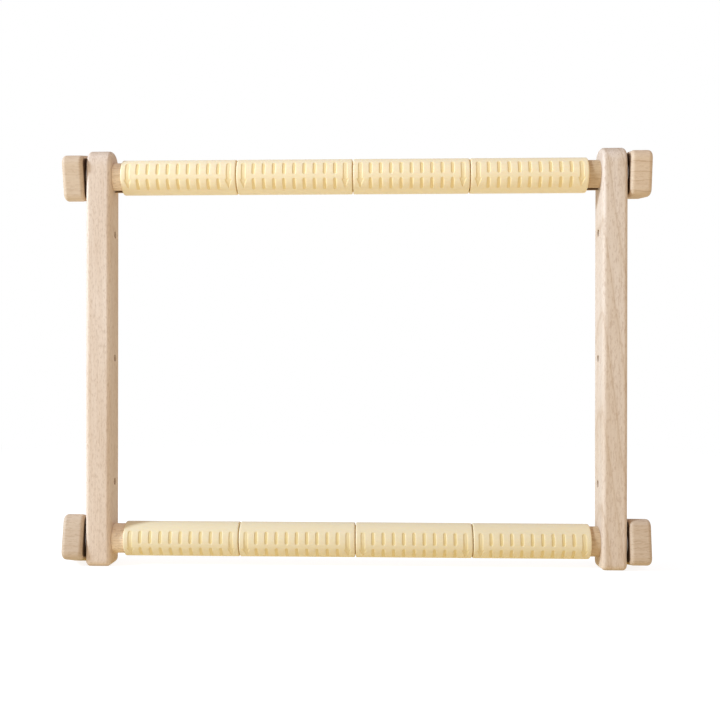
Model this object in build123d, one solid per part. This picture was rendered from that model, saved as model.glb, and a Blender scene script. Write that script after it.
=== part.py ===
from build123d import *
import math
import os

# Embroidery scroll frame, millimetres.
# X runs along the rollers, Z runs up the side bars, -Y is the working side.
# The origin is under the middle of the frame, on the surface that the bars stand on.
# The roller axes lie in the plane y = 0.

# Side bars
BAR_LENGTH = 350.0
BAR_WIDTH = 20.5
BAR_FRONT_Y = -17.0
BAR_BACK_Y = 13.0
BAR_SPACING = 408.0          # clear width between the two bars
BAR_FRONT_CORNER = 5.5
BAR_BACK_CORNER = 14.0
BAR_EDGE = 3.2

# Rollers
ROLLER_DIAMETER = 25.0
ROLLER_INSET = 21.7          # roller axis to the nearer end of the bar
ROLLER_END_GAP = 0.15
SLOT_WIDTH = 4.5
SLOT_DEPTH = 7.5
SLOT_ANGLES = {"top": 78.0, "bottom": 150.0}   # from the front, going down

# Spare holes that go through the bars
SPARE_HOLE_DIAMETER = 6.0
SPARE_HOLE_OFFSETS = (-105.0, 0.0, 105.0)

# Clips that press over the cloth on the rollers
CLIPS_PER_ROLLER = 4
CLIP_LENGTH = 97.0
CLIP_GAP = 0.6
CLIP_BORE = 25.1
CLIP_OUTER = 29.2
CLIP_HALF_ARC = 124.0
CLIP_END_EDGE = 0.7
CLIP_ROW_SHIFT = {"top": -1.3, "bottom": 1.3}
CLIP_ANGLES = {"top": 6.5, "bottom": 14.7}

# Bolts, M6
BOLT_DIAMETER = 6.0
BOLT_IN_ROLLER = 30.0
BOLT_OUTSIDE_BAR = 14.4
BOLT_TIP = 0.8
BOLT_HOLE_DIAMETER = 6.15

# Knobs
KNOB_SIZE = 38.0
KNOB_CORNER = 7.0
KNOB_THICKNESS = 18.0
KNOB_GAP = 1.6               # knob to bar
KNOB_OUTER_EDGE = 3.6
KNOB_INNER_EDGE = 3.5
KNOB_ANGLES = {"top_left": 12.5, "bottom_left": -12.5, "top_right": 7.0, "bottom_right": -8.0}

# Threaded inserts in the knobs, with the flange let in flush
INSERT_DIAMETER = 9.0
INSERT_DEPTH = 14.0
INSERT_BORE = 6.1
FLANGE_DIAMETER = 14.0
FLANGE_THICKNESS = 1.2

# Washers
WASHER_DIAMETER = 24.0
WASHER_THICKNESS = 0.8
WASHER_BORE = 6.4
WASHER_PLAY = 0.1            # washer to knob

AXIS_HEIGHTS = {"top": BAR_LENGTH - ROLLER_INSET, "bottom": ROLLER_INSET}
SIDES = {"left": -1, "right": 1}
BAR_INNER_X = BAR_SPACING / 2
BAR_OUTER_X = BAR_INNER_X + BAR_WIDTH


def cylinder_x(diameter, start, end, z=0.0):
    """Solid cylinder along X between two X positions, on the plane y = 0."""
    middle = Pos((start + end) / 2, 0, z)
    return middle * Rot(0, 90, 0) * Cylinder(diameter / 2, abs(end - start))


def at_corner(shape, level, side):
    """Move a shape from the origin's axis to a roller axis, mirrored for the left side."""
    placed = shape if side == "right" else mirror(shape, about=Plane.YZ)
    return Pos(0, 0, AXIS_HEIGHTS[level]) * placed


def side_bar(side):
    """Upright bar with rounded ends, two bolt holes and three spare holes."""
    profile = BuildSketch(Plane.YZ)
    with profile:
        with Locations(((BAR_FRONT_Y + BAR_BACK_Y) / 2, BAR_LENGTH / 2)):
            Rectangle(BAR_BACK_Y - BAR_FRONT_Y, BAR_LENGTH)
        front = profile.vertices().group_by(Axis.Y)[0]
        fillet(front, BAR_FRONT_CORNER)
        back = profile.vertices().group_by(Axis.Y)[-1]
        fillet(back, BAR_BACK_CORNER)
    bar = Pos(BAR_INNER_X, 0, 0) * extrude(profile.sketch, BAR_WIDTH, dir=(1, 0, 0))
    rims = bar.edges().filter_by(lambda e: abs(e.bounding_box().size.X) < 1e-6)
    bar = fillet(rims, BAR_EDGE)
    for height in AXIS_HEIGHTS.values():
        bar -= cylinder_x(BOLT_HOLE_DIAMETER, BAR_INNER_X - 1, BAR_OUTER_X + 1, height)
    for offset in SPARE_HOLE_OFFSETS:
        height = BAR_LENGTH / 2 + offset
        bar -= cylinder_x(SPARE_HOLE_DIAMETER, BAR_INNER_X - 1, BAR_OUTER_X + 1, height)
    return bar if side == "right" else mirror(bar, about=Plane.YZ)


def roller(level):
    """Dowel with a lengthwise slot for the cloth and a bolt bore in each end."""
    half = BAR_INNER_X - ROLLER_END_GAP
    dowel = cylinder_x(ROLLER_DIAMETER, -half, half)
    radius = ROLLER_DIAMETER / 2
    slot = Pos(0, -radius, 0) * Box(2 * half + 2, 2 * SLOT_DEPTH, SLOT_WIDTH)
    dowel -= Rot(SLOT_ANGLES[level], 0, 0) * slot
    for sign in SIDES.values():
        dowel -= cylinder_x(BOLT_DIAMETER, sign * (half - BOLT_IN_ROLLER), sign * (half + 1))
    return Pos(0, 0, AXIS_HEIGHTS[level]) * dowel


def clip_profile():
    """C section in the YZ plane, open towards +Y, with rounded lips."""
    outer = CLIP_OUTER / 2
    inner = CLIP_BORE / 2
    middle = (outer + inner) / 2
    first = 180.0 - CLIP_HALF_ARC
    path = CenterArc((0, 0), middle, first, 2 * CLIP_HALF_ARC)
    with BuildSketch() as section:
        Circle(outer)
        Circle(inner, mode=Mode.SUBTRACT)
        mouth = 90.0 - (CLIP_HALF_ARC - 90.0)
        reach = 2 * outer
        corner = (reach * math.cos(math.radians(mouth)), reach * math.sin(math.radians(mouth)))
        with BuildLine():
            Polyline((0, 0), corner, (corner[0], -corner[1]), close=True)
        make_face(mode=Mode.SUBTRACT)
        for end in (path @ 0, path @ 1):
            with Locations((end.X, end.Y)):
                Circle((outer - inner) / 2)
    return Plane.YZ * section.sketch


def clip(level, index):
    """One clip of a row, numbered from the left."""
    row = CLIPS_PER_ROLLER * CLIP_LENGTH + (CLIPS_PER_ROLLER - 1) * CLIP_GAP
    start = CLIP_ROW_SHIFT[level] - row / 2 + index * (CLIP_LENGTH + CLIP_GAP)
    body = extrude(clip_profile(), CLIP_LENGTH, dir=(1, 0, 0))
    rims = body.edges().filter_by(GeomType.CIRCLE).filter_by(
        lambda e: abs(e.radius - CLIP_OUTER / 2) < 1e-6)
    body = chamfer(rims, CLIP_END_EDGE)
    return Pos(start, 0, AXIS_HEIGHTS[level]) * Rot(CLIP_ANGLES[level], 0, 0) * body


def bolt():
    """Bolt from inside the roller's end, through the bar, into the knob."""
    start = BAR_INNER_X - ROLLER_END_GAP - BOLT_IN_ROLLER
    end = BAR_OUTER_X + BOLT_OUTSIDE_BAR
    rod = cylinder_x(BOLT_DIAMETER, start, end)
    return chamfer(rod.edges().group_by(Axis.X)[-1], BOLT_TIP)


def washer():
    """Flat washer between the bar and the knob."""
    end = BAR_OUTER_X + KNOB_GAP - WASHER_PLAY
    disc = cylinder_x(WASHER_DIAMETER, end - WASHER_THICKNESS, end)
    return disc - cylinder_x(WASHER_BORE, end - WASHER_THICKNESS - 1, end + 1)


def insert_nut():
    """Threaded insert with a flange that lies flush in the knob's inner face."""
    face = BAR_OUTER_X + KNOB_GAP
    nut = cylinder_x(FLANGE_DIAMETER, face, face + FLANGE_THICKNESS)
    nut += cylinder_x(INSERT_DIAMETER, face, face + INSERT_DEPTH)
    return nut - cylinder_x(INSERT_BORE, face - 1, face + INSERT_DEPTH + 1)


def knob(angle):
    """Rounded square knob with a stepped blind bore for the insert."""
    face = BAR_OUTER_X + KNOB_GAP
    outline = Plane.YZ * RectangleRounded(KNOB_SIZE, KNOB_SIZE, KNOB_CORNER)
    block = Pos(face, 0, 0) * extrude(outline, KNOB_THICKNESS, dir=(1, 0, 0))
    block = fillet(block.edges().group_by(Axis.X)[-1], KNOB_OUTER_EDGE)
    block = fillet(block.edges().group_by(Axis.X)[0], KNOB_INNER_EDGE)
    block -= cylinder_x(INSERT_DIAMETER, face - 1, face + INSERT_DEPTH)
    block -= cylinder_x(FLANGE_DIAMETER, face - 1, face + FLANGE_THICKNESS)
    return Rot(angle, 0, 0) * block


os.makedirs("parts", exist_ok=True)
nodes = {}
for side_name in SIDES:
    nodes[f"{side_name}_side_bar"] = side_bar(side_name)
for level_name in AXIS_HEIGHTS:
    nodes[f"{level_name}_roller"] = roller(level_name)
    for number in range(CLIPS_PER_ROLLER):
        nodes[f"{level_name}_clip_{number + 1}"] = clip(level_name, number)
    for side_name in SIDES:
        corner_name = f"{level_name}_{side_name}"
        nodes[f"{corner_name}_bolt"] = at_corner(bolt(), level_name, side_name)
        nodes[f"{corner_name}_washer"] = at_corner(washer(), level_name, side_name)
        nodes[f"{corner_name}_insert_nut"] = at_corner(insert_nut(), level_name, side_name)
        turned = knob(KNOB_ANGLES[corner_name])
        nodes[f"{corner_name}_knob"] = at_corner(turned, level_name, side_name)

for name, shape in nodes.items():
    export_step(shape, f"parts/{name}.step")
    print(name, round(shape.volume, 1))
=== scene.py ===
import math

import bmesh
import bpy
import numpy as np
from mathutils import Matrix, Vector


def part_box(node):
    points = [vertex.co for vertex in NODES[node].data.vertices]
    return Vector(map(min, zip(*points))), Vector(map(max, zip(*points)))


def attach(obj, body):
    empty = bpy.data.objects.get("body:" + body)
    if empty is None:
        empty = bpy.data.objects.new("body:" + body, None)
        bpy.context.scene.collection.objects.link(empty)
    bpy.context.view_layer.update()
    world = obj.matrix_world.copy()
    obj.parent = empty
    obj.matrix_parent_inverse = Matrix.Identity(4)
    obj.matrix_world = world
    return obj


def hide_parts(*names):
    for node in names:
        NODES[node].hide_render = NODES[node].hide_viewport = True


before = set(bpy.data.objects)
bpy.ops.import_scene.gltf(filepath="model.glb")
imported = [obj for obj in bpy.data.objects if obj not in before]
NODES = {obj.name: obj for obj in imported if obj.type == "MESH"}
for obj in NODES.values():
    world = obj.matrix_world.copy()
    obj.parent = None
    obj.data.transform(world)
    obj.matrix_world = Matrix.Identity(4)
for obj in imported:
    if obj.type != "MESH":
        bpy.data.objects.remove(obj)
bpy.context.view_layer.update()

# Embroidery scroll frame, in metres. X runs along the rollers, Z up the side bars, and -Y is the
# front. Bars, rollers and knobs keep their CAD meshes and are given beech. Clips, bolts, washers
# and inserts are built here in finer detail and stand for their CAD nodes.

MM = 0.001
LEVELS = ("top", "bottom")
SIDES = {"left": -1, "right": 1}


# ---------------------------------------------------------------- measures

def axis_height(level):
    low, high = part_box(f"{level}_roller")
    return ((low + high) / 2).z


AXIS_Z = {level: axis_height(level) for level in LEVELS}
BAR_BOX = {side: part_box(f"{side}_side_bar") for side in SIDES}
BAR_OUTER_X = BAR_BOX["right"][1].x

# Moulded clip
CLIPS_PER_ROLLER = 4
CLIP_OUTER = 14.6 * MM
CLIP_INNER = 12.55 * MM
CLIP_HALF_ARC = math.radians(124.0)
CLIP_TURN = {"top": math.radians(6.5), "bottom": math.radians(14.7)}
CLIP_LENGTH = 97.0 * MM
CLIP_END_ROUND = 1.1 * MM

# Pattern pressed into the clips: columns of two dashes, with an arrow at each end
COLUMN_PITCH = 8.5 * MM
ARROW_COLUMN = 5
DASH_HALF_WIDTH = 1.65 * MM
DASH_NEAR_TOP = math.radians(3.9)
DASH_NEAR_BOTTOM = math.radians(6.8)
DASH_FAR = math.radians(49.2)
ARROW_SHAFT_HALF = 2.0 * MM
ARROW_HEAD_HALF = 3.2 * MM
ARROW_TOP = math.radians(48.5)
ARROW_NECK = math.radians(-9.5)
ARROW_TIP = math.radians(-45.0)
PRESS_DEPTH = 0.42 * MM
PRESS_WALL = 0.75 * MM       # width of the slope from the clip's skin down to the floor
ARROW_SHADE_FILL = 0.6             # how strongly painted shade fills an arrow's floor, beside a dash's
DASH_SHADE_POWER = 0.7        # below 1, a dash's painted shade reaches further up its walls

# How closely the clip's mesh follows the pattern
DASH_STATIONS = 19
ARROW_STATIONS = 29
COLUMN_MARGIN = 1.06         # a column's stations reach just past its dashes or arrow
BETWEEN_COLUMNS = (0.38, 0.5, 0.62)      # stations after a column, as shares of the pitch
END_STATIONS = 8
END_MARGIN = 1.1             # other stations keep this many end rounds from the clip's end
PATTERN_ARC = DASH_FAR * 1.03            # the finely divided arc ends just past the dashes
PATTERN_ANGLES = 67
PLAIN_ANGLES = 18
LIP_ANGLES = 9

# Bolts: a plain shank in the wood, then an M6 thread from just inside the bar's face to the tip
BOLT_RADIUS = 3.0 * MM
BOLT_TIP = 0.8 * MM
BOLT_STEPS = 32
SHANK_INSET = 2.0 * MM       # the plain shank stops this far inside the bar's face
THREAD_INSET = 1.0 * MM      # and the thread starts this far inside it
THREAD_PITCH = 1.0 * MM
THREAD_DEPTH = 0.6 * MM
THREAD_ROWS_PER_TURN = 8
THREAD_GAIN = 1.35           # these two flatten the thread's crests and roots
THREAD_DROP = 0.15

# Washers, and inserts with a flange
RING_STEPS = 64
RING_EDGE_ANGLES = 5
WASHER_BORE_RADIUS = 3.2 * MM
WASHER_RADIUS = 12.0 * MM
WASHER_EDGE = 0.25 * MM
INSERT_BORE_RADIUS = 3.05 * MM
INSERT_RADIUS = 4.5 * MM
FLANGE_RADIUS = 7.0 * MM
FLANGE_THICKNESS = 1.2 * MM
FLANGE_EDGE = 0.3 * MM

# Edges that turn by more degrees than this stay crisp
CLIP_CREASE = 50
RING_CREASE = 40
BOLT_CREASE = 60

# Knobs and rollers, for their materials
KNOB_HALF = 19.0 * MM
KNOB_TURN = {"top_left": 12.5, "bottom_left": -12.5, "top_right": 7.0, "bottom_right": -8.0}
SLOT_SHADE_RADIUS = 12.2 * MM      # painted shade darkens the slot's walls, which lie inside this radius


# ---------------------------------------------------------------- mesh helpers

def new_piece(name, verts, faces, smooth=True):
    mesh = bpy.data.meshes.new(name)
    mesh.from_pydata([tuple(v) for v in verts], [], faces)
    mesh.validate()
    mesh.update()
    if smooth:
        mesh.polygons.foreach_set("use_smooth", [True] * len(mesh.polygons))
    obj = bpy.data.objects.new(name, mesh)
    bpy.context.scene.collection.objects.link(obj)
    return obj


def stand_for(obj, node, body, material):
    """Puts a piece on its body in place of a CAD node, with its finish."""
    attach(obj, body)
    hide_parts(node)
    obj.data.materials.clear()
    obj.data.materials.append(material)


def finish_mesh(obj, crease):
    """Turns all faces outwards, and keeps edges steeper than the crease crisp."""
    bm = bmesh.new()
    bm.from_mesh(obj.data)
    bmesh.ops.recalc_face_normals(bm, faces=bm.faces)
    limit = math.radians(crease)
    for edge in bm.edges:
        if len(edge.link_faces) == 2 and edge.calc_face_angle() > limit:
            edge.smooth = False
    bm.to_mesh(obj.data)
    bm.free()


# ---------------------------------------------------------------- moulded clips

def smooth_step(t):
    t = np.clip(t, 0.0, 1.0)
    return t * t * (3.0 - 2.0 * t)


def capsule_distance(x, s, s0, s1, radius):
    """Signed distance to a slot along s with round ends, negative inside."""
    near = np.clip(s, s0 + radius, s1 - radius)
    return np.hypot(x, s - near) - radius


def triangle_distance(x, s, base, tip, half):
    """Signed distance to an arrow head that narrows from base down to tip."""
    rise = base - tip
    slant = math.hypot(half, rise)
    side = (np.abs(x) * rise - (s - tip) * half) / slant
    return np.maximum(side, s - base)


def press_pattern(x, s):
    """Depth and painted groove shade on the unrolled clip, at x along it and s round it."""
    near = np.where(s > 0, DASH_NEAR_TOP, DASH_NEAR_BOTTOM) * CLIP_OUTER
    neck = ARROW_NECK * CLIP_OUTER
    column = np.clip(np.round(x / COLUMN_PITCH), -ARROW_COLUMN, ARROW_COLUMN)
    dx = x - column * COLUMN_PITCH
    dash = capsule_distance(dx, np.abs(s), near, DASH_FAR * CLIP_OUTER, DASH_HALF_WIDTH)
    shaft = capsule_distance(dx, s, neck - DASH_HALF_WIDTH, ARROW_TOP * CLIP_OUTER,
                             ARROW_SHAFT_HALF)
    head = triangle_distance(dx, s, neck, ARROW_TIP * CLIP_OUTER, ARROW_HEAD_HALF)
    is_arrow = np.abs(column) >= ARROW_COLUMN
    outline = np.where(is_arrow, np.minimum(shaft, head), dash)
    depth = PRESS_DEPTH * smooth_step(-outline / PRESS_WALL)
    share = depth / PRESS_DEPTH
    # painted shade lies along an arrow's walls and partly on its floor, and fills a dash
    walls = 4.0 * share * (1.0 - share)
    arrow_shade = np.maximum(walls, ARROW_SHADE_FILL * share)
    return depth, np.where(is_arrow, arrow_shade, share ** DASH_SHADE_POWER)


def clip_stations():
    """Places along the clip, with how far the end round has dropped the surface there."""
    half = CLIP_LENGTH / 2
    spots = []
    for column in range(-ARROW_COLUMN, ARROW_COLUMN + 1):
        centre = column * COLUMN_PITCH
        is_arrow = abs(column) == ARROW_COLUMN
        reach = (ARROW_HEAD_HALF if is_arrow else DASH_HALF_WIDTH) * COLUMN_MARGIN
        count = ARROW_STATIONS if is_arrow else DASH_STATIONS
        spots.extend(centre + reach * np.linspace(-1, 1, count))
        if column < ARROW_COLUMN:
            spots.extend(centre + COLUMN_PITCH * share for share in BETWEEN_COLUMNS)
    spots = sorted(s for s in spots if abs(s) < half - CLIP_END_ROUND * END_MARGIN)
    turns = np.linspace(0, math.pi / 2, END_STATIONS)
    ends = half - CLIP_END_ROUND * (1 - np.sin(turns))
    drops = CLIP_END_ROUND * (1 - np.cos(turns))
    stations = [(-end, drop) for end, drop in zip(ends[::-1], drops[::-1])]
    stations += [(spot, 0.0) for spot in spots]
    return stations + list(zip(ends, drops))


def clip_angles():
    """Angles round the clip, close together over the pressed pattern."""
    pattern = np.linspace(-PATTERN_ARC, PATTERN_ARC, PATTERN_ANGLES)
    plain = np.linspace(PATTERN_ARC, CLIP_HALF_ARC, PLAIN_ANGLES)[1:]
    return np.concatenate([-plain[::-1], pattern, plain])


def clip_ring(x, drop, angles, lip_turns):
    """One closed C. Each point is a radius, an angle, a shift along the arc and a painted shade.
    """
    depth, groove_shading = press_pattern(np.full(len(angles), x), angles * CLIP_OUTER)
    outer = CLIP_OUTER - drop
    centre = (outer + CLIP_INNER) / 2
    half = (outer - CLIP_INNER) / 2
    ring = [(outer - d, a, 0.0, t) for a, d, t in zip(angles, depth, groove_shading)]
    ring += [(centre + half * math.cos(t), CLIP_HALF_ARC, half * math.sin(t), 0.0)
             for t in lip_turns]
    ring += [(CLIP_INNER, a, 0.0, 0.0) for a in angles[::-1]]
    ring += [(centre + half * math.cos(t), -CLIP_HALF_ARC, -half * math.sin(t), 0.0)
             for t in lip_turns[::-1]]
    return ring


def clip_mesh():
    """A C section swept along X; the pattern faces -Y and the mouth is open to +Y."""
    stations = clip_stations()
    angles = clip_angles()
    lip_turns = np.linspace(0, math.pi, LIP_ANGLES)[1:-1]
    verts, tones = [], []
    for x, drop in stations:
        for r, a, shift, groove_shading in clip_ring(x, drop, angles, lip_turns):
            verts.append((x, -r * math.cos(a) + math.sin(a) * shift,
                          r * math.sin(a) + math.cos(a) * shift))
            tones.append(groove_shading)

    arc, lips = len(angles), len(lip_turns)
    size = 2 * (arc + lips)
    faces = []
    for i in range(len(stations) - 1):
        a, b = i * size, (i + 1) * size
        for j in range(size):
            k = (j + 1) % size
            faces.append((a + j, a + k, b + k, b + j))

    # flat ends: quads between the outer and inner arcs, and one face across each lip
    inner = [2 * arc + lips - 1 - j for j in range(arc)]
    caps = [(j + 1, inner[j + 1], inner[j], j) for j in range(arc - 1)]
    caps.append((arc - 1, *range(arc, arc + lips), arc + lips))
    caps.append((2 * arc + lips - 1, *range(2 * arc + lips, size), 0))
    last = (len(stations) - 1) * size
    faces += caps
    faces += [tuple(last + point for point in cap[::-1]) for cap in caps]
    return verts, faces, tones


def make_clips(materials):
    verts, faces, tones = clip_mesh()
    source = new_piece("clip_source", verts, faces)
    finish_mesh(source, CLIP_CREASE)
    # the pressed attribute carries the painted groove shade
    pressed = source.data.attributes.new("pressed", "FLOAT", "POINT")
    pressed.data.foreach_set("value", tones)
    for level in LEVELS:
        for number in range(1, CLIPS_PER_ROLLER + 1):
            node = f"{level}_clip_{number}"
            low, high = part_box(node)
            clip = bpy.data.objects.new(f"moulded_{node}", source.data.copy())
            bpy.context.scene.collection.objects.link(clip)
            clip.matrix_world = (Matrix.Translation(((low.x + high.x) / 2, 0, AXIS_Z[level]))
                                 @ Matrix.Rotation(CLIP_TURN[level], 4, "X"))
            stand_for(clip, node, f"{node}_body", materials[level])
    bpy.data.objects.remove(source)


# ---------------------------------------------------------------- steel pieces

def lathe(name, profile, sign, centre_z):
    """Turns a closed profile of (x, radius) points about the X axis."""
    verts, faces = [], []
    for i in range(RING_STEPS):
        a = 2 * math.pi * i / RING_STEPS
        for x, r in profile:
            verts.append((sign * x, r * math.cos(a), centre_z + r * math.sin(a)))
    n = len(profile)
    for i in range(RING_STEPS):
        a, b = i * n, ((i + 1) % RING_STEPS) * n
        for j in range(n):
            k = (j + 1) % n
            faces.append((a + j, a + k, b + k, b + j))
    obj = new_piece(name, verts, faces)
    finish_mesh(obj, RING_CREASE)
    return obj


def rounded_ring(x0, x1, r0, r1, edge):
    """Profile of a flat ring whose outer edges are rounded."""
    turns = np.linspace(0, math.pi / 2, RING_EDGE_ANGLES)
    points = [(x0, r0), (x0, r1 - edge)]
    points += [(x0 + edge * (1 - math.cos(t)), r1 - edge * (1 - math.sin(t)))
               for t in turns[1:]]
    points += [(x1 - edge * (1 - math.sin(t)), r1 - edge * (1 - math.cos(t)))
               for t in turns[:-1]]
    points += [(x1, r1 - edge), (x1, r0)]
    return points


def thread_radius(x, turn, end):
    """Radius of the thread at a place along the bolt and a share of a turn round it."""
    phase = (x / THREAD_PITCH - turn) % 1.0
    crest = 1.0 - abs(2.0 * phase - 1.0)
    crest = min(1.0, max(0.0, crest * THREAD_GAIN - THREAD_DROP))
    taper = max(0.0, x - (end - BOLT_TIP))
    return min(BOLT_RADIUS - THREAD_DEPTH * (1.0 - crest), BOLT_RADIUS - taper)


def threaded_bolt(name, sign, centre_z, start, face, end):
    """A bolt along X: a plain shank, then a thread from just inside the bar's outer face."""
    first = face - THREAD_INSET
    count = int((end - face) / THREAD_PITCH * THREAD_ROWS_PER_TURN)
    places = [start, face - SHANK_INSET]
    places += [first + (end - face + THREAD_INSET) * i / count for i in range(count + 1)]
    verts, faces = [], []
    for x in places:
        for k in range(BOLT_STEPS):
            a = 2 * math.pi * k / BOLT_STEPS
            threaded = x >= first
            r = thread_radius(x, sign * k / BOLT_STEPS, end) if threaded else BOLT_RADIUS
            verts.append((sign * x, r * math.cos(a), centre_z + r * math.sin(a)))
    for i in range(len(places) - 1):
        a, b = i * BOLT_STEPS, (i + 1) * BOLT_STEPS
        for k in range(BOLT_STEPS):
            m = (k + 1) % BOLT_STEPS
            faces.append((a + k, a + m, b + m, b + k))
    faces.append(tuple(range(BOLT_STEPS)))
    faces.append(tuple(range(len(verts) - BOLT_STEPS, len(verts))))
    obj = new_piece(name, verts, faces)
    finish_mesh(obj, BOLT_CREASE)
    return obj


def span(node):
    """Where a node starts and ends, as distances from the frame's middle along X."""
    low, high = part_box(node)
    return sorted((abs(low.x), abs(high.x)))


def make_hardware(steel_bolt, steel_washer, steel_insert):
    for level in LEVELS:
        z = AXIS_Z[level]
        for side, sign in SIDES.items():
            corner = f"{level}_{side}"
            start, end = span(f"{corner}_bolt")
            bolt = threaded_bolt(f"threaded_{corner}_bolt", sign, z, start, BAR_OUTER_X, end)
            stand_for(bolt, f"{corner}_bolt", f"{level}_roller_set", steel_bolt)

            start, end = span(f"{corner}_washer")
            profile = rounded_ring(start, end, WASHER_BORE_RADIUS, WASHER_RADIUS, WASHER_EDGE)
            ring = lathe(f"rounded_{corner}_washer", profile, sign, z)
            stand_for(ring, f"{corner}_washer", f"{corner}_washer_body",
                      steel_washer)

            start, end = span(f"{corner}_insert_nut")
            flange = start + FLANGE_THICKNESS
            profile = rounded_ring(start, flange, INSERT_BORE_RADIUS, FLANGE_RADIUS, FLANGE_EDGE)
            profile[-1:] = [(flange, INSERT_RADIUS), (end, INSERT_RADIUS),
                            (end, INSERT_BORE_RADIUS)]
            nut = lathe(f"flanged_{corner}_insert", profile, sign, z)
            stand_for(nut, f"{corner}_insert_nut", f"{corner}_knob_body",
                      steel_insert)


# ---------------------------------------------------------------- material helpers

def add(tree, kind, inputs=None, **settings):
    """Makes a shader node, sets its options, and fills its inputs with values or links."""
    made = tree.nodes.new(kind)
    for key, value in settings.items():
        setattr(made, key, value)
    for key, value in (inputs or {}).items():
        if isinstance(value, bpy.types.NodeSocket):
            tree.links.new(value, made.inputs[key])
        else:
            made.inputs[key].default_value = value
    return made


def maths(tree, operation, a, b=0.0, clamp=False):
    return add(tree, "ShaderNodeMath", {0: a, 1: b}, operation=operation,
               use_clamp=clamp).outputs[0]


def times(tree, a, b):
    return maths(tree, "MULTIPLY", a, b)


def plus(tree, total, value, share, clamp=False):
    """Adds a share of a value to a total."""
    return maths(tree, "ADD", total, times(tree, value, share), clamp)


def about(tree, value, mean):
    """A value counted from its mean."""
    return maths(tree, "SUBTRACT", value, mean)


def length(tree, a, b):
    return maths(tree, "SQRT", maths(tree, "ADD", times(tree, a, a), times(tree, b, b)))


def split(tree, vector):
    return add(tree, "ShaderNodeSeparateXYZ", {0: vector}).outputs


def ramp(tree, factor, stops):
    """A ramp through greys, given as pairs of place and grey."""
    made = add(tree, "ShaderNodeValToRGB", {0: factor})
    points = made.color_ramp.elements
    while len(points) < len(stops):
        points.new(0.5)
    for point, (place, grey) in zip(points, stops):
        point.position = place
        point.color = (grey, grey, grey, 1.0)
    return made.outputs[0]


def mix(tree, factor, a, b, blend="MIX"):
    """Mixes two colours, each a socket or a red, green and blue."""
    made = add(tree, "ShaderNodeMix", {0: factor}, data_type="RGBA", blend_type=blend)
    for index, colour in ((6, a), (7, b)):
        if isinstance(colour, bpy.types.NodeSocket):
            tree.links.new(colour, made.inputs[index])
        else:
            made.inputs[index].default_value = (*colour, 1)
    return made.outputs[2]


def noise(tree, vector, scale, detail, rough=0.5):
    return add(tree, "ShaderNodeTexNoise", {"Vector": vector, "Scale": scale, "Detail": detail,
                                            "Roughness": rough}).outputs[0]


def stretched_noise(tree, vector, cells, offset, detail, rough=0.5):
    """Noise with its own number of cells to the metre along each axis."""
    stretched = add(tree, "ShaderNodeMapping", {"Vector": vector, "Scale": cells,
                                                "Location": offset}).outputs[0]
    return noise(tree, stretched, 1.0, detail, rough)


def add_bump(tree, shader, height, strength, distance):
    bump = add(tree, "ShaderNodeBump", {"Height": height, "Strength": strength,
                                        "Distance": distance})
    tree.links.new(bump.outputs[0], shader.inputs["Normal"])


def start_material(name):
    material = bpy.data.materials.new(name)
    material.use_nodes = True
    tree = material.node_tree
    tree.nodes.clear()
    output = tree.nodes.new("ShaderNodeOutputMaterial")
    shader = tree.nodes.new("ShaderNodeBsdfPrincipled")
    tree.links.new(shader.outputs[0], output.inputs[0])
    return material, tree, shader


def tone(red, green, blue):
    """An sRGB tone, 0 to 255, as linear light."""
    def linear(c):
        c = c / 255
        return c / 12.92 if c <= 0.04045 else ((c + 0.055) / 1.055) ** 2.4
    return tuple(linear(c) for c in (red, green, blue))


def tinted(colour, tint):
    """A colour times a tint, held at white."""
    return tuple(min(1.0, c * t) for c, t in zip(colour, tint))


# ---------------------------------------------------------------- beech

SEED_STEPS = (1.37, 2.11, 0.73)      # turn a seed into a place in the noise

# Noise in cells to the metre: across the grain, across it the other way, and along it
SWAY_CELLS = (22, 22, 3.0)
RIPPLE_CELLS = (110, 110, 70)
BAND_CELLS = (160, 160, 5)
CLOUD_CELLS = (28, 28, 9)
PATCH_CELLS = (260, 260, 260)

# Marks drawn out along the grain: cells, detail, roughness, and the noise from which a mark
# begins and is full
FLECKS = ((850, 850, 240), 2.0, 0.6, 0.50, 0.66)
LINES = ((1500, 1500, 28), 2.0, 0.6, 0.50, 0.68)
PORES = ((3200, 3200, 600), 1.0, 0.5, 0.56, 0.72)

RING_SWAY = 12.0 * MM        # how far the rings wander along a piece
RING_WAVER = 1.4 * MM        # how far they waver within about a centimetre
RING_STOPS = ((0.0, 0.35), (0.15, 0.0), (0.7, 0.45), (0.93, 1.0), (1.0, 0.35))
LATE_WOOD_STOPS = ((0.0, 0), (0.84, 0), (0.90, 1), (0.92, 1), (0.97, 0), (1.0, 0))
END_GRAIN_STOPS = ((0.0, 0), (0.55, 0), (0.95, 1))
FLAT_FACE_STOPS = ((0.0, 0), (0.90, 0), (0.99, 1))
PATCH_STOPS = ((0.35, 0.25), (0.65, 1))

MEAN_DARKNESS = 0.45         # between a wood's light and dark tones
MEAN_RINGS = 0.4
MEAN_NOISE = 0.5
PORE_SHARE = 0.12
END_GRAIN_TINT = (1.0, 0.96, 0.90)
PAINTED_GAP_SHADE_TINT = (0.20, 0.15, 0.11)     # painted shade for a face that stands close to another piece
SLOT_SHADE_TINT = (0.30, 0.22, 0.16)       # painted shade for the walls inside a roller's slot
RUBBED_WIDTH = 4.0 * MM      # edges are rubbed paler over this width
RUBBED_SHARE = 0.16
RUBBED_TINT = (1.12, 1.10, 1.06)
WOOD_ROUGHNESS = {"base": 0.50, "flecks": 0.12, "bands": 0.14, "rubbed": 0.10}
WOOD_RELIEF = {"rings": 0.25, "lines": 0.45, "pores": 0.7}
WOOD_BUMP = (0.30, 0.1 * MM)
WOOD_SPECULAR = 0.32


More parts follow.
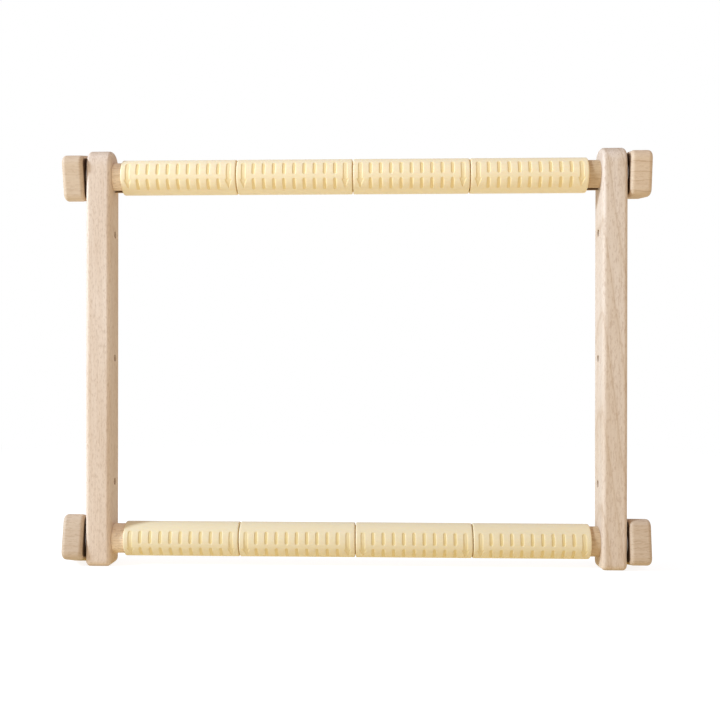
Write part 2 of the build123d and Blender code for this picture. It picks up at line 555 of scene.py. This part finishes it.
def edge_distance(tree, vector, low, high):
    """Distance from a point on a block's surface to the block's nearest edge."""
    gaps = []
    for part, a, b in zip(split(tree, vector), low, high):
        off_centre = maths(tree, "ABSOLUTE", about(tree, part, (a + b) / 2))
        gaps.append(maths(tree, "SUBTRACT", (b - a) / 2, off_centre))
    small = maths(tree, "MINIMUM", gaps[0], gaps[1])
    large = maths(tree, "MAXIMUM", gaps[0], gaps[1])
    return maths(tree, "MAXIMUM", small, maths(tree, "MINIMUM", large, gaps[2]))


def growth_rings(tree, along, offset, pith, tilt, waver, spacing):
    """Place within a growth ring, 0 to 1, for rings round a pith beside the piece."""
    across = split(tree, along)
    dx = maths(tree, "ADD", plus(tree, across[0], across[2], tilt), pith[0])
    dy = maths(tree, "ADD", across[1], pith[1])
    radius = length(tree, dx, dy)
    sway = stretched_noise(tree, along, SWAY_CELLS, offset, detail=2.0)
    ripple = stretched_noise(tree, along, RIPPLE_CELLS, offset, detail=1.0)
    radius = plus(tree, plus(tree, radius, sway, RING_SWAY), ripple, waver)
    return maths(tree, "FRACT", maths(tree, "DIVIDE", radius, spacing))


def grain_marks(tree, along, offset, kind):
    cells, detail, rough, begin, full = kind
    level = stretched_noise(tree, along, cells, offset, detail, rough)
    return ramp(tree, level, [(0.0, 0), (begin, 0), (full, 1), (1.0, 1)])


def rubbed_edges(tree, place, offset, block, turn):
    """Strength of the rubbing near a block's edges, in patches."""
    low, high = block
    turned_back = add(tree, "ShaderNodeVectorRotate",
                      {"Vector": place, "Center": (low + high) / 2, "Angle": -turn},
                      rotation_type="X_AXIS").outputs[0]
    gap = edge_distance(tree, turned_back, low, high)
    near = ramp(tree, maths(tree, "DIVIDE", gap, RUBBED_WIDTH), [(0.0, 1), (1.0, 0)])
    patchy = stretched_noise(tree, place, PATCH_CELLS, offset, detail=3.0, rough=0.6)
    return times(tree, near, ramp(tree, patchy, PATCH_STOPS))


def beech(name, grain, light, dark, fleck, seed, block, ring, fleck_share, line_share, *,
          turn=0.0, pith=(0.09, 0.05), tilt=0.0, waver=RING_WAVER, ring_share=0.5,
          thin_rings=0.0, band_share=1.6, cloud_share=1.2, end_tone=0.80, shade_fade=None, slot_shade=None,
          painted_shade_face=0):
    """Sanded beech: growth rings, ray flecks, pores, end grain and rubbed edges.

    The grain runs along "X" or "Z". The block is the piece's box before its turn about X.
    The ring is the rings' spacing, and the shares are how strongly each mark shows. A shade fade
    is painted shade along the grain: where it is full, where it ends, and its tint. A slot shade
    is painted shade on a roller's slot walls: the height of an axis along X, and the radius
    inside which the wood is darkened. A painted shade face is a face darkened as painted shade,
    given as the sign of the X that it faces.
    """
    material, tree, shader = start_material(name)
    coord = add(tree, "ShaderNodeTexCoord")
    place = coord.outputs["Object"]
    parts = split(tree, place)
    facing = split(tree, coord.outputs["Normal"])
    order = {"Z": (0, 1, 2), "X": (1, 2, 0)}[grain]
    along = add(tree, "ShaderNodeCombineXYZ",
                {i: parts[axis] for i, axis in enumerate(order)}).outputs[0]
    offset = tuple(seed * step for step in SEED_STEPS)

    in_ring = growth_rings(tree, along, offset, pith, tilt, waver, ring)
    rings = ramp(tree, in_ring, RING_STOPS)
    flecks, lines, pores = (grain_marks(tree, along, offset, kind)
                            for kind in (FLECKS, LINES, PORES))
    bands = stretched_noise(tree, along, BAND_CELLS, offset, detail=3.0, rough=0.6)
    cloud = stretched_noise(tree, along, CLOUD_CELLS, offset, detail=2.0)

    darkness = plus(tree, MEAN_DARKNESS, about(tree, rings, MEAN_RINGS), ring_share)
    darkness = plus(tree, darkness, about(tree, bands, MEAN_NOISE), band_share)
    darkness = plus(tree, darkness, about(tree, cloud, MEAN_NOISE), cloud_share, clamp=True)
    colour = mix(tree, darkness, light, dark)
    # painted shade, fading along the grain
    if shade_fade:
        full, none, shade_fade_tint = shade_fade
        share = add(tree, "ShaderNodeMapRange", {"Value": parts[order[2]], "From Min": none,
                                                 "From Max": full}).outputs[0]
        colour = mix(tree, share, colour, shade_fade_tint, "MULTIPLY")
    for marks, share in ((flecks, fleck_share), (lines, line_share), (pores, PORE_SHARE)):
        colour = mix(tree, times(tree, marks, share), colour, fleck)
    if thin_rings:
        late = ramp(tree, in_ring, LATE_WOOD_STOPS)
        colour = mix(tree, times(tree, late, thin_rings), colour, fleck)

    # end grain drinks more finish, so it is darker
    end = ramp(tree, maths(tree, "ABSOLUTE", facing[order[2]]), END_GRAIN_STOPS)
    end_tint = tinted(END_GRAIN_TINT, (end_tone,) * 3)
    colour = mix(tree, end, colour, end_tint, "MULTIPLY")
    # painted shade on the face that stands close to another piece
    if painted_shade_face:
        inner = ramp(tree, times(tree, facing[0], painted_shade_face), FLAT_FACE_STOPS)
        colour = mix(tree, inner, colour, PAINTED_GAP_SHADE_TINT, "MULTIPLY")
    # painted shade on the walls inside the roller's slot
    if slot_shade:
        centre_z, reach = slot_shade
        out = length(tree, about(tree, parts[2], centre_z), parts[1])
        inside = maths(tree, "LESS_THAN", out, reach)
        colour = mix(tree, inside, colour, SLOT_SHADE_TINT, "MULTIPLY")

    rubbed = rubbed_edges(tree, place, offset, block, turn)
    colour = mix(tree, times(tree, rubbed, RUBBED_SHARE), colour, tinted(light, RUBBED_TINT))
    tree.links.new(colour, shader.inputs["Base Color"])

    rough = plus(tree, WOOD_ROUGHNESS["base"], flecks, WOOD_ROUGHNESS["flecks"])
    rough = plus(tree, rough, bands, WOOD_ROUGHNESS["bands"])
    rough = maths(tree, "SUBTRACT", rough, times(tree, rubbed, WOOD_ROUGHNESS["rubbed"]))
    tree.links.new(rough, shader.inputs["Roughness"])
    shader.inputs["Specular IOR Level"].default_value = WOOD_SPECULAR

    hollows = plus(tree, times(tree, lines, WOOD_RELIEF["lines"]), pores, WOOD_RELIEF["pores"])
    height = maths(tree, "SUBTRACT", times(tree, rings, WOOD_RELIEF["rings"]), hollows)
    add_bump(tree, shader, height, *WOOD_BUMP)
    return material


def paint(node, material):
    """Gives a CAD node that stays its material."""
    mesh = NODES[node].data
    mesh.materials.clear()
    mesh.materials.append(material)


# Each piece's own wood. Tones are sRGB: light, dark, and the marks'.
BAR_FLECK_TONE = (176, 142, 110)
BAR_WOOD = {
    "left": dict(tones=((229, 207, 185), (214, 187, 160)), seed=3.0, ring=9.0 * MM,
                 ring_share=0.20, thin_rings=0.0, tilt=0.08, cloud_share=1.5),
    "right": dict(tones=((228, 208, 188), (214, 190, 164)), seed=8.0, ring=12.0 * MM,
                  ring_share=0.45, thin_rings=0.26, tilt=0.15, cloud_share=1.0)}
BAR_SHADE_FADE = (0.0, 0.30, (0.94, 0.91, 0.87))           # painted shade: darker towards the foot
ROLLER_TONES = ((252, 228, 197), (236, 207, 172), (160, 122, 84))
ROLLER_SEED = {"top": 11.0, "bottom": 14.0}
ROLLER_RING = 3.2 * MM
ROLLER_SHADE_FADE = (0.19, -0.19, (0.63, 0.56, 0.45))      # painted shade: darker towards the right, away from the lamp
KNOB_TONES = ((216, 191, 162), (202, 172, 140), (160, 124, 90))
KNOB_SHADE = {"top_left": 1.00, "bottom_left": 0.91, "top_right": 1.07, "bottom_right": 0.94}
KNOB_WOOD = {
    "top_left": dict(seed=21.0, ring=3.2 * MM, pith=(0.02, 0.10), ring_share=0.20,
                     thin_rings=0.04, fleck_share=0.22, line_share=0.22),
    "bottom_left": dict(seed=25.0, ring=4.0 * MM, pith=(0.09, 0.05), ring_share=0.25,
                        thin_rings=0.0, fleck_share=0.28, line_share=0.07),
    "top_right": dict(seed=29.0, ring=8.2 * MM, pith=(0.01, 0.12), ring_share=0.40,
                      thin_rings=0.30, fleck_share=0.22, line_share=0.12, waver=5.0 * MM),
    "bottom_right": dict(seed=33.0, ring=3.6 * MM, pith=(0.08, 0.06), ring_share=0.30,
                         thin_rings=0.05, fleck_share=0.32, line_share=0.10)}


def make_bar_wood():
    for side, wood in BAR_WOOD.items():
        own = dict(wood)
        light, dark = (tone(*rgb) for rgb in own.pop("tones"))
        paint(f"{side}_side_bar",
              beech(f"beech_{side}_bar", "Z", light, dark, tone(*BAR_FLECK_TONE),
                    block=BAR_BOX[side], fleck_share=0.38, line_share=0.24, band_share=1.2,
                    shade_fade=BAR_SHADE_FADE, **own))


def make_roller_wood():
    light, dark, fleck = (tone(*rgb) for rgb in ROLLER_TONES)
    for level in LEVELS:
        paint(f"{level}_roller",
              beech(f"beech_{level}_roller", "X", light, dark, fleck, ROLLER_SEED[level],
                    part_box(f"{level}_roller"), ROLLER_RING, fleck_share=0.36, line_share=0.26,
                    shade_fade=ROLLER_SHADE_FADE, slot_shade=(AXIS_Z[level], SLOT_SHADE_RADIUS)))


def make_knob_wood():
    for corner, own in KNOB_WOOD.items():
        level, side = corner.split("_")
        low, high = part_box(f"{corner}_knob")
        block = (Vector((low.x, -KNOB_HALF, AXIS_Z[level] - KNOB_HALF)),
                 Vector((high.x, KNOB_HALF, AXIS_Z[level] + KNOB_HALF)))
        light, dark, fleck = ([c * KNOB_SHADE[corner] for c in tone(*rgb)]
                              for rgb in KNOB_TONES)
        # the knob's face towards the bar gets painted shade
        paint(f"{corner}_knob",
              beech(f"beech_{corner}_knob", "X", light, dark, fleck, block=block,
                    turn=math.radians(KNOB_TURN[corner]), band_share=0.8, end_tone=0.9,
                    painted_shade_face=-SIDES[side], **own))


# ---------------------------------------------------------------- plastic and steel

# Each row's tone, and the painted groove shade that fills its pressed pattern, sRGB.
# The bottom row's tones are darker, as painted shade.
PLASTIC_LIT_AND_SHADED_TONES = {"top": ((245, 223, 181), (239, 207, 139)),
                 "bottom": ((232, 212, 171), (225, 196, 130))}
PLASTIC_CLOUD = ((18, 60, 60), (3.1, 0.4, 1.9))      # cells to the metre, and offset
PLASTIC_FLOW = ((35, 420, 420), (1.1, 2.4, 0.9))
PLASTIC_SPECK_CELLS = 1900.0
PLASTIC_MARKS = {"cloud": 0.55, "flow": 0.30, "speck": 0.15}
PLASTIC_RANGE = (1.03, 0.955)        # the light tone's shade without marks, and where full
PLASTIC_ROUGHNESS = {"base": 0.40, "speck": 0.16, "pressed": 0.10}
PLASTIC_RELIEF = {"speck": 0.6, "flow": 0.4}
PLASTIC_BUMP = (0.25, 0.06 * MM)
PLASTIC_SPECULAR = 0.42
# strength of the painted shade in the grooves
GROOVE_SHADE_SHARE = 0.82
# painted warm light on the clips' end faces, which face each other across narrow gaps
CLIP_GAP_LIGHT_TINT = (1.06, 0.95, 0.62)
CLIP_GAP_LIGHT_STOPS = ((0.0, 0), (0.8, 0), (1.0, 1))
SUBSURFACE_WEIGHT = 0.12
SUBSURFACE_RADIUS = (1.0, 0.75, 0.4)
SUBSURFACE_SCALE = 1.5 * MM

# Each steel's colour, its least and most roughness, and its tool marks in cells to the metre
STEELS = {"bolt": ((0.52, 0.51, 0.51), 0.25, 0.45, (900, 900, 900)),
          "washer": ((0.80, 0.79, 0.80), 0.22, 0.42, (300, 900, 900)),
          "insert": ((0.48, 0.47, 0.46), 0.28, 0.48, (300, 900, 900))}
STEEL_MARK_OFFSET = (0.2, 0.5, 0.9)
STEEL_SPOT_CELLS = 700.0
STEEL_RANGE = (1.15, 0.75)           # the colour's shade without spots, and where full
STEEL_BUMP = (0.3, 0.04 * MM)


def moulded_plastic(name, light, groove_shade):
    """Cream moulded plastic with a satin skin, faint flow marks, painted shade in its grooves
    and painted warm light on its end faces.
    """
    material, tree, shader = start_material(name)
    coord = add(tree, "ShaderNodeTexCoord")
    place = coord.outputs["Object"]
    pressed = add(tree, "ShaderNodeAttribute", attribute_name="pressed").outputs["Fac"]
    cloud = stretched_noise(tree, place, *PLASTIC_CLOUD, detail=3.0)
    flow = stretched_noise(tree, place, *PLASTIC_FLOW, detail=2.0, rough=0.6)
    speck = noise(tree, place, PLASTIC_SPECK_CELLS, detail=2.0, rough=0.6)
    marks = times(tree, cloud, PLASTIC_MARKS["cloud"])
    marks = plus(tree, marks, flow, PLASTIC_MARKS["flow"])
    marks = plus(tree, marks, speck, PLASTIC_MARKS["speck"], clamp=True)
    bare, marked = ([c * shade for c in light] for shade in PLASTIC_RANGE)
    colour = mix(tree, marks, bare, marked)
    # painted shade in the pressed grooves
    colour = mix(tree, times(tree, pressed, GROOVE_SHADE_SHARE), colour, groove_shade)
    # painted warm light on the end faces
    ends = maths(tree, "ABSOLUTE", split(tree, coord.outputs["Normal"])[0])
    colour = mix(tree, ramp(tree, ends, CLIP_GAP_LIGHT_STOPS), colour, tinted(light, CLIP_GAP_LIGHT_TINT))
    tree.links.new(colour, shader.inputs["Base Color"])
    rough = plus(tree, PLASTIC_ROUGHNESS["base"], speck, PLASTIC_ROUGHNESS["speck"])
    rough = plus(tree, rough, pressed, PLASTIC_ROUGHNESS["pressed"])
    tree.links.new(rough, shader.inputs["Roughness"])
    shader.inputs["Specular IOR Level"].default_value = PLASTIC_SPECULAR
    shader.inputs["Subsurface Weight"].default_value = SUBSURFACE_WEIGHT
    shader.inputs["Subsurface Radius"].default_value = SUBSURFACE_RADIUS
    shader.inputs["Subsurface Scale"].default_value = SUBSURFACE_SCALE
    height = times(tree, speck, PLASTIC_RELIEF["speck"])
    height = plus(tree, height, flow, PLASTIC_RELIEF["flow"])
    add_bump(tree, shader, height, *PLASTIC_BUMP)
    return material


def zinc_steel(name, base, rough_low, rough_high, mark_cells):
    """Zinc-plated steel with fine tool marks and dull spots."""
    material, tree, shader = start_material(name)
    place = add(tree, "ShaderNodeTexCoord").outputs["Object"]
    marks = stretched_noise(tree, place, mark_cells, STEEL_MARK_OFFSET, detail=2.0, rough=0.6)
    spots = noise(tree, place, STEEL_SPOT_CELLS, detail=3.0, rough=0.6)
    bright, dull = ([c * shade for c in base] for shade in STEEL_RANGE)
    tree.links.new(mix(tree, spots, bright, dull), shader.inputs["Base Color"])
    shader.inputs["Metallic"].default_value = 1.0
    rough = plus(tree, rough_low, spots, rough_high - rough_low)
    tree.links.new(rough, shader.inputs["Roughness"])
    add_bump(tree, shader, marks, *STEEL_BUMP)
    return material


def make_plastics():
    plastics = {}
    # the two rows are lit and shaded copies of one plastic, as painted light and shade
    for level, (light, groove_shade) in PLASTIC_LIT_AND_SHADED_TONES.items():
        plastics[level] = moulded_plastic(f"cream_plastic_shaded_by_row_{level}", tone(*light), tone(*groove_shade))
    return plastics


def make_steels():
    return [zinc_steel(f"steel_{piece}", *finish) for piece, finish in STEELS.items()]


# ---------------------------------------------------------------- stage, light and camera

WHITE = (1, 1, 1, 1)
FLOOR_REACH = 30.0
FLOOR_DROP = 0.2 * MM
FLOOR_TONE = (0.25, 0.25, 0.25, 1)
FLOOR_ROUGHNESS = 0.9
FLOOR_SPECULAR = 0.1
FLOOR_GLOW = 0.86
FLOOR_FADE = (0.55, 1.6)     # the floor turns into the white background between these distances
FLOOR_BOUNCE = (0.60, 0.60, 0.60, 1)
FLOOR_WARMTH = (0.36, 0.29, 0.08, 1)     # light that the floor adds to what stands on it
WORLD_COLOUR = (0.550, 0.520, 0.535)
FRONT_COLOUR = (0.23, 0.19, 0.15)        # what the front of the studio adds to that

KEY_PLACE = (-2.2, -0.88, 1.15)
KEY_TARGET = (0, 0, 0.18)
KEY_SIZE = 0.4
KEY_POWER = 60.0
KEY_COLOUR = (0.77, 1.0, 1.32)

CAMERA_PLACE = (0.0134, -0.8113, 0.1560)
CAMERA_PITCH = math.radians(89.933)
CAMERA_TURN = math.radians(2.123)
CAMERA_ROLL = math.radians(-0.083)
CAMERA_SHIFT = (0.0354, 0.0303)
CAMERA_LENS = 48.0           # with the sensor, in millimetres
CAMERA_SENSOR = 36.0
CAMERA_CLIP = (0.01, 50.0)


def make_floor():
    """A pale floor that fades into the white background, and throws soft light on the frame."""
    reach = FLOOR_REACH
    corners = [(-reach, -reach, 0), (reach, -reach, 0), (reach, reach, 0), (-reach, reach, 0)]
    floor = new_piece("floor", corners, [(0, 1, 2, 3)], smooth=False)
    floor.location.z = -FLOOR_DROP
    material, tree, near = start_material("pale_floor")
    near.inputs["Base Color"].default_value = FLOOR_TONE
    near.inputs["Roughness"].default_value = FLOOR_ROUGHNESS
    near.inputs["Specular IOR Level"].default_value = FLOOR_SPECULAR
    near.inputs["Emission Color"].default_value = WHITE
    near.inputs["Emission Strength"].default_value = FLOOR_GLOW
    place = add(tree, "ShaderNodeTexCoord").outputs["Object"]
    away = add(tree, "ShaderNodeVectorMath", {0: place}, operation="LENGTH").outputs["Value"]
    share = add(tree, "ShaderNodeMapRange", {"Value": away, "From Min": FLOOR_FADE[0],
                                             "From Max": FLOOR_FADE[1]},
                interpolation_type="SMOOTHSTEP").outputs[0]
    far = add(tree, "ShaderNodeEmission", {"Color": WHITE, "Strength": 1.0}).outputs[0]
    bright = add(tree, "ShaderNodeMixShader", {0: share, 1: near.outputs[0], 2: far}).outputs[0]
    bounce = add(tree, "ShaderNodeBsdfDiffuse", {"Color": FLOOR_BOUNCE}).outputs[0]
    warmth = add(tree, "ShaderNodeEmission", {"Color": FLOOR_WARMTH}).outputs[0]
    dull = add(tree, "ShaderNodeAddShader", {0: bounce, 1: warmth}).outputs[0]
    seen = add(tree, "ShaderNodeLightPath").outputs["Is Camera Ray"]
    both = add(tree, "ShaderNodeMixShader", {0: seen, 1: dull, 2: bright}).outputs[0]
    tree.links.new(both, tree.nodes["Material Output"].inputs[0])
    floor.data.materials.append(material)


def make_world():
    """A white background, and soft light that is a little stronger and warmer in front."""
    world = bpy.data.worlds.new("studio")
    bpy.context.scene.world = world
    world.use_nodes = True
    tree = world.node_tree
    tree.nodes.clear()
    white = add(tree, "ShaderNodeBackground", {"Color": WHITE, "Strength": 1.0}).outputs[0]
    towards = split(tree, add(tree, "ShaderNodeTexCoord").outputs["Generated"])[1]
    front = maths(tree, "MAXIMUM", times(tree, towards, -1.0), 0.0)
    front_total = [a + b for a, b in zip(WORLD_COLOUR, FRONT_COLOUR)]
    colour = mix(tree, front, WORLD_COLOUR, front_total)
    lit = add(tree, "ShaderNodeBackground", {"Color": colour}).outputs[0]
    seen = add(tree, "ShaderNodeLightPath").outputs["Is Camera Ray"]
    both = add(tree, "ShaderNodeMixShader", {0: seen, 1: lit, 2: white}).outputs[0]
    output = add(tree, "ShaderNodeOutputWorld")
    tree.links.new(both, output.inputs[0])


def make_key_light():
    """One lamp, above on the left and a little in front."""
    lamp = bpy.data.lights.new("key", "AREA")
    lamp.shape = "DISK"
    lamp.size = KEY_SIZE
    lamp.energy = KEY_POWER
    lamp.color = KEY_COLOUR
    obj = bpy.data.objects.new("key", lamp)
    bpy.context.scene.collection.objects.link(obj)
    obj.location = KEY_PLACE
    obj.rotation_mode = "QUATERNION"
    aim = Vector(KEY_TARGET) - Vector(KEY_PLACE)
    obj.rotation_quaternion = aim.to_track_quat("-Z", "Y")


def make_camera():
    data = bpy.data.cameras.new("camera")
    data.sensor_width = CAMERA_SENSOR
    data.lens = CAMERA_LENS
    data.shift_x, data.shift_y = CAMERA_SHIFT
    data.clip_start, data.clip_end = CAMERA_CLIP
    obj = bpy.data.objects.new("camera", data)
    bpy.context.scene.collection.objects.link(obj)
    obj.location = CAMERA_PLACE
    obj.rotation_euler = (CAMERA_PITCH, CAMERA_ROLL, CAMERA_TURN)
    bpy.context.scene.camera = obj


make_camera()
make_floor()
make_world()
make_key_light()
bpy.context.scene.view_settings.view_transform = "Standard"
bpy.context.scene.view_settings.look = "None"

make_bar_wood()
make_roller_wood()
make_knob_wood()
make_clips(make_plastics())
make_hardware(*make_steels())
